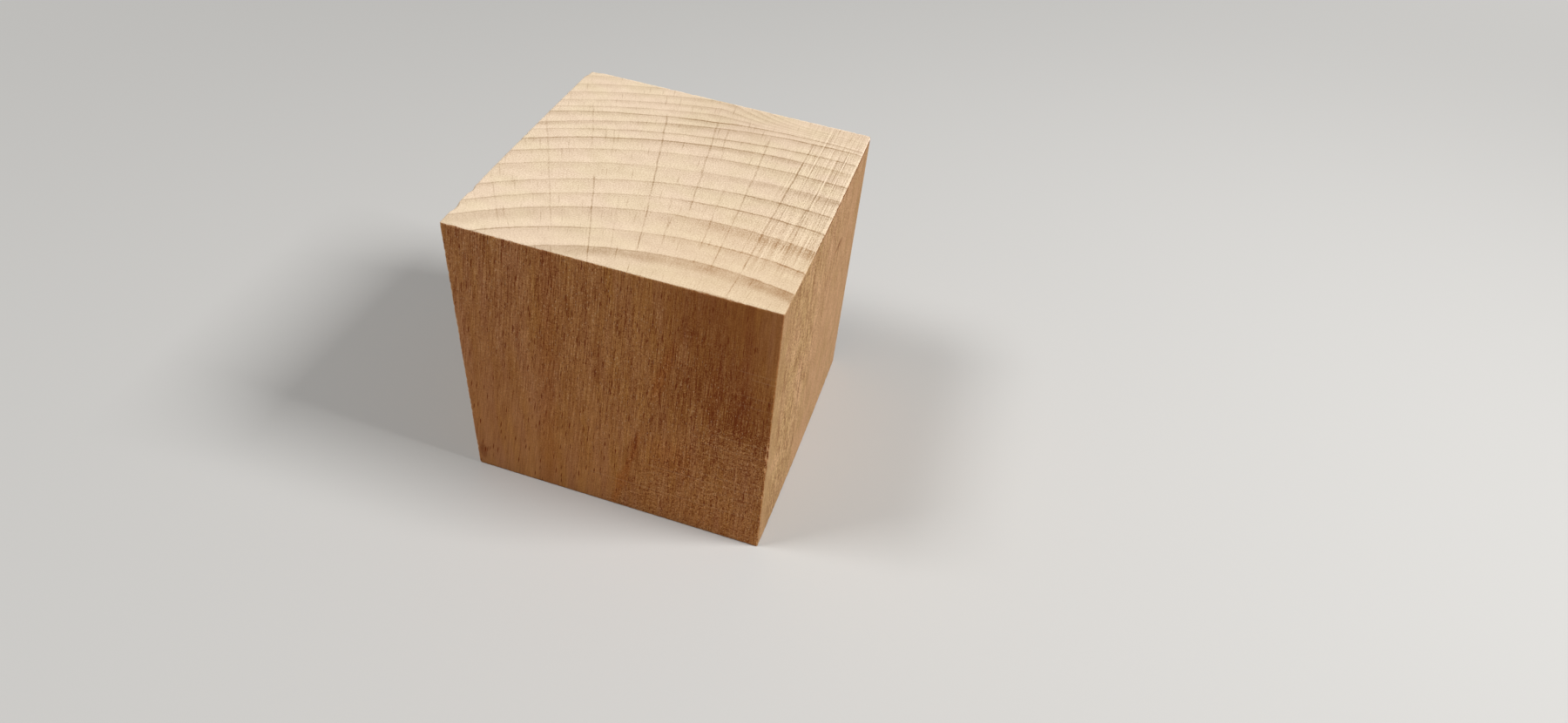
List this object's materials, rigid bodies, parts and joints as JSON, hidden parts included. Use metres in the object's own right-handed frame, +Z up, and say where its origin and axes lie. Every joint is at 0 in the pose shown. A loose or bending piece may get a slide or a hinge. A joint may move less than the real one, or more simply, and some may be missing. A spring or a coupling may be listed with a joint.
{
  "type": "wooden cube",
  "caption": "Solid hardwood cube with crisp sawn edges, two lightly rounded long edges at the back and end grain on top and bottom.",
  "frame": {"origin": "middle of the bottom face, which is the lower crosscut end", "axes": "+X out of one quarter-sawn side, the right face in the front view; +Y away from the front, into the rear flat-sawn side; +Z up along the grain, out of the top end grain"},
  "size_m": [0.05, 0.0486, 0.0495],
  "materials": {
    "beech": "bare sawn and planed beech: pale end grain with ring lines and rays, tan sides with short ray flecks"
  },
  "bodies": {
    "root": {"wooden_cube": "beech"}
  },
  "joints": []
}
